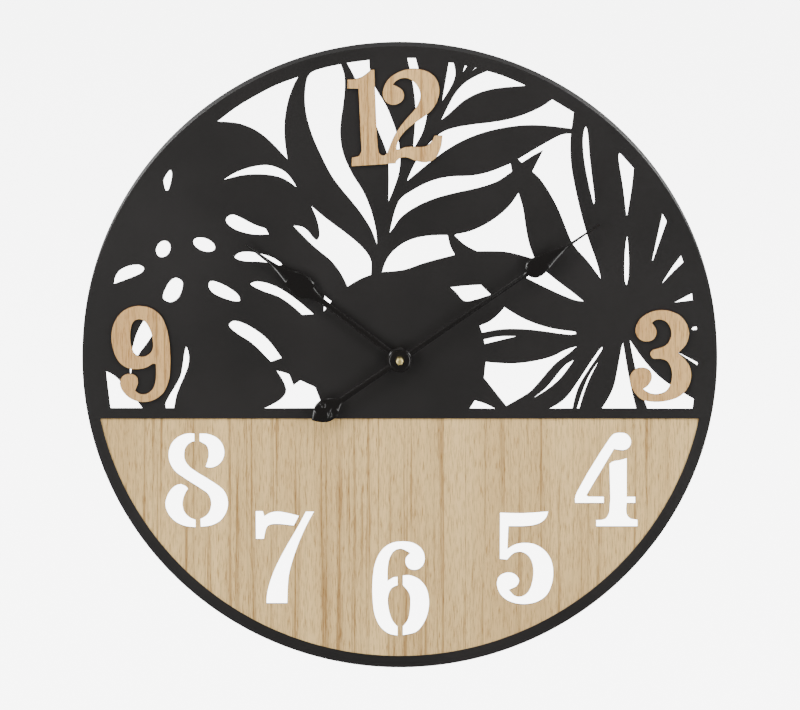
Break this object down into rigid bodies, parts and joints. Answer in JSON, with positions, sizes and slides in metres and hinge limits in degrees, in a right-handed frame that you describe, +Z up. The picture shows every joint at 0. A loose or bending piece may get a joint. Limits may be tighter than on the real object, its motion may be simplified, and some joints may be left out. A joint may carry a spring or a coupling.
{
  "type": "round wall clock",
  "caption": "Large round wall clock with a pierced leaf panel over a wooden half, raised and stencilled numerals, spade hands and a battery quartz movement.",
  "frame": {"origin": "on the wall plane, at the axis of the nail that carries the hanger", "axes": "+Z up, +Y into the wall, +X to the right of a viewer who faces the dial from the -Y side"},
  "size_m": [0.57, 0.041, 0.57],
  "materials": {
    "black_paint": "matte dark charcoal powder coat",
    "wood": "light brown wood-grain face, vertical grain",
    "pale_wood": "pale wood-grain face with scorched laser-cut edges",
    "gloss_black": "glossy near-black with embossed relief",
    "brass": "polished",
    "white_plastic": "moulded acetal",
    "black_plastic": "moulded, fine spark texture",
    "rubber": "soft matte",
    "steel": "plain",
    "copper": "enamelled copper wire",
    "board": "glass-fibre circuit board",
    "battery_sleeve": "plain printed sleeve with no lettering"
  },
  "bodies": {
    "root": {"rim_hoop": "black_paint", "hanger_tab": "black_paint", "leaf_panel": "black_paint", "wood_panel": "wood", "numeral_12": "pale_wood", "numeral_9": "pale_wood", "numeral_3": "pale_wood", "middle_plate": "white_plastic", "coil_bobbin": "white_plastic", "movement_case": "black_plastic", "back_cover": "black_plastic", "driver_chip": "black_plastic", "threaded_bush": "brass", "flat_washer": "brass", "fixing_nut": "brass", "rubber_gasket": "rubber", "stator": "steel", "coil_core": "steel", "positive_contact": "steel", "negative_contact": "steel", "quartz_crystal": "steel", "coil_winding": "copper", "circuit_board": "board", "aa_battery": "battery_sleeve", "wall_bumper_1": "rubber", "wood_tab_1": "black_paint", "wood_screw_1": "steel", "wall_bumper_2": "rubber", "wood_tab_2": "black_paint", "wood_screw_2": "steel", "wall_bumper_3": "rubber", "wood_tab_3": "black_paint", "wood_screw_3": "steel", "wall_bumper_4": "rubber", "wood_tab_4": "black_paint", "wood_screw_4": "steel"},
    "minute_train": {"minute_hand": "gloss_black", "hand_nut": "brass", "minute_arbor": "brass", "centre_wheel": "brass"},
    "hour_train": {"hour_hand": "gloss_black", "hour_wheel": "white_plastic"},
    "motion": {"motion_wheel": "white_plastic"},
    "knob": {"setting_knob": "white_plastic"},
    "third": {"third_wheel": "white_plastic"},
    "seconds": {"seconds_wheel": "white_plastic"},
    "intermediate": {"intermediate_wheel": "white_plastic"},
    "rotor_body": {"rotor": "steel"}
  },
  "joints": [
    {"name": "minute_turn", "type": "hinge", "parent": "root", "child": "minute_train", "pos_m": [0, -0.03, -0.262], "axis": [0, 1, 0], "continuous": true},
    {"name": "hour_turn", "type": "hinge", "parent": "root", "child": "hour_train", "pos_m": [0, -0.025, -0.262], "axis": [0, 1, 0], "continuous": true},
    {"name": "motion_turn", "type": "hinge", "parent": "root", "child": "motion", "pos_m": [0, -0.017, -0.2708], "axis": [0, 1, 0], "continuous": true},
    {"name": "knob_turn", "type": "hinge", "parent": "root", "child": "knob", "pos_m": [0, -0.01, -0.28015], "axis": [0, 1, 0], "continuous": true},
    {"name": "third_turn", "type": "hinge", "parent": "root", "child": "third", "pos_m": [0.00187, -0.012, -0.25136], "axis": [0, 1, 0], "continuous": true},
    {"name": "seconds_turn", "type": "hinge", "parent": "root", "child": "seconds", "pos_m": [0, -0.012, -0.262], "axis": [0, 1, 0], "continuous": true},
    {"name": "intermediate_turn", "type": "hinge", "parent": "root", "child": "intermediate", "pos_m": [0.0052, -0.01, -0.2672], "axis": [0, 1, 0], "continuous": true},
    {"name": "rotor_turn", "type": "hinge", "parent": "root", "child": "rotor_body", "pos_m": [0.0114, -0.01, -0.26829], "axis": [0, 1, 0], "continuous": true}
  ],
  "couplings": [
    {"joint": "hour_turn", "follows": "minute_turn", "ratio": 0.083333},
    {"joint": "motion_turn", "follows": "minute_turn", "ratio": -0.33333},
    {"joint": "knob_turn", "follows": "minute_turn", "ratio": 0.8},
    {"joint": "third_turn", "follows": "minute_turn", "ratio": -8},
    {"joint": "seconds_turn", "follows": "minute_turn", "ratio": 60},
    {"joint": "intermediate_turn", "follows": "minute_turn", "ratio": -360},
    {"joint": "rotor_turn", "follows": "minute_turn", "ratio": 1800}
  ]
}
